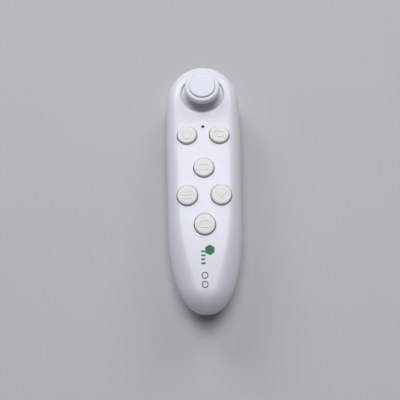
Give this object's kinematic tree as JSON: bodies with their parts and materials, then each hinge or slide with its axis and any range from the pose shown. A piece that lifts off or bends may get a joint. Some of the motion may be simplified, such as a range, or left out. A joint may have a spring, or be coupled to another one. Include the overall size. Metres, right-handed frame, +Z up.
{
  "type": "vr motion controller",
  "caption": "Wand-shaped one-handed wireless motion controller with a thumbstick, round top buttons, nose triggers, a side mode switch and a battery bay.",
  "frame": {"origin": "centre of the bounding box at the resting face under the case", "axes": "+Y along the case towards the nose and the thumbstick, +Z up out of the button face, +X to the right of a user who points the nose away"},
  "size_m": [0.0376, 0.128, 0.03],
  "materials": {
    "case_white": "satin-gloss moulded white plastic with a faint blue cast",
    "button_white": "satin off-white moulded plastic",
    "stick_white": "satin white moulded plastic",
    "stick_pad": "soft satin white insert",
    "black_plastic": "matte black moulded plastic",
    "smoked_plastic": "smoked clear plastic",
    "circuit_board": "green solder mask",
    "steel": "plated steel",
    "cell_sleeve": "plain printed sleeve"
  },
  "bodies": {
    "case": {"back_switch": "steel", "battery_tray": "black_plastic", "case_screw_1": "steel", "case_screw_2": "steel", "case_screw_3": "steel", "case_screw_4": "steel", "crystal": "steel", "indicator_led": "smoked_plastic", "joystick_board": "circuit_board", "joystick_frame": "steel", "left_cell": "cell_sleeve", "left_plate_contact": "steel", "left_spring_contact": "steel", "left_switch": "steel", "left_trigger_switch": "steel", "light_pipe": "smoked_plastic", "lower_shell": "case_white", "lower_switch": "steel", "main_board": "circuit_board", "mode_switch": "steel", "power_switch": "steel", "radio_chip": "black_plastic", "rear_sensor": "black_plastic", "return_spring": "steel", "right_cell": "cell_sleeve", "right_plate_contact": "steel", "right_spring_contact": "steel", "right_switch": "steel", "right_trigger_switch": "steel", "side_sensor": "black_plastic", "trigger_board": "circuit_board", "upper_shell": "case_white", "upper_switch": "steel"},
    "power_key": {"power_button": "button_white", "power_plunger": "black_plastic"},
    "back_key": {"back_button": "button_white", "back_plunger": "black_plastic"},
    "upper_key": {"upper_button": "button_white", "upper_plunger": "black_plastic"},
    "left_key": {"left_button": "button_white", "left_plunger": "black_plastic"},
    "right_key": {"right_button": "button_white", "right_plunger": "black_plastic"},
    "lower_key": {"lower_button": "button_white", "lower_plunger": "black_plastic"},
    "tilt_ring": {"tilt_ring": "black_plastic"},
    "stick": {"thumbstick_cap": "stick_white", "thumbstick_pad": "stick_pad", "thumbstick_skirt": "stick_white", "stick_shaft": "black_plastic"},
    "tilt_arch": {"tilt_arch": "black_plastic"},
    "left_trigger": {"left_trigger": "button_white", "left_trigger_plunger": "black_plastic"},
    "right_trigger": {"right_trigger": "button_white", "right_trigger_plunger": "black_plastic"},
    "mode_knob": {"mode_knob": "black_plastic"},
    "battery_door": {"battery_door": "case_white"}
  },
  "joints": [
    {"name": "power_press", "type": "slide", "parent": "case", "child": "power_key", "axis": [0, 0, -1], "range_m": [0, 0.0008], "stiffness_N_per_m": 1200, "springref_m": -0.0003},
    {"name": "back_press", "type": "slide", "parent": "case", "child": "back_key", "axis": [0, 0, -1], "range_m": [0, 0.0008], "stiffness_N_per_m": 1200, "springref_m": -0.0003},
    {"name": "upper_press", "type": "slide", "parent": "case", "child": "upper_key", "axis": [0, 0, -1], "range_m": [0, 0.0008], "stiffness_N_per_m": 1200, "springref_m": -0.0003},
    {"name": "left_press", "type": "slide", "parent": "case", "child": "left_key", "axis": [0, 0, -1], "range_m": [0, 0.0008], "stiffness_N_per_m": 1200, "springref_m": -0.0003},
    {"name": "right_press", "type": "slide", "parent": "case", "child": "right_key", "axis": [0, 0, -1], "range_m": [0, 0.0008], "stiffness_N_per_m": 1200, "springref_m": -0.0003},
    {"name": "lower_press", "type": "slide", "parent": "case", "child": "lower_key", "axis": [0, 0, -1], "range_m": [0, 0.0008], "stiffness_N_per_m": 1200, "springref_m": -0.0003},
    {"name": "stick_pitch", "type": "hinge", "parent": "case", "child": "tilt_ring", "pos_m": [0, 0.043, 0.0093], "axis": [1, 0, 0], "range_deg": [-12, 12], "stiffness_Nm_per_rad": 0.02},
    {"name": "stick_roll", "type": "hinge", "parent": "tilt_ring", "child": "stick", "pos_m": [0, 0.043, 0.0093], "axis": [0, 1, 0], "range_deg": [-12, 12], "stiffness_Nm_per_rad": 0.02},
    {"name": "arch_roll", "type": "hinge", "parent": "case", "child": "tilt_arch", "pos_m": [0, 0.043, 0.0093], "axis": [0, 1, 0], "range_deg": [-12, 12]},
    {"name": "left_trigger_press", "type": "slide", "parent": "case", "child": "left_trigger", "axis": [0, -1, 0], "range_m": [0, 0.0008], "stiffness_N_per_m": 1200, "springref_m": -0.0003},
    {"name": "right_trigger_press", "type": "slide", "parent": "case", "child": "right_trigger", "axis": [0, -1, 0], "range_m": [0, 0.0008], "stiffness_N_per_m": 1200, "springref_m": -0.0003},
    {"name": "mode_slide", "type": "slide", "parent": "case", "child": "mode_knob", "axis": [0, 1, 0], "range_m": [0, 0.002]},
    {"name": "door_swing", "type": "hinge", "parent": "case", "child": "battery_door", "pos_m": [0, 0.0039, 0], "axis": [1, 0, 0], "range_deg": [0, 55]}
  ],
  "couplings": [
    {"joint": "arch_roll", "follows": "stick_roll", "ratio": 1}
  ]
}
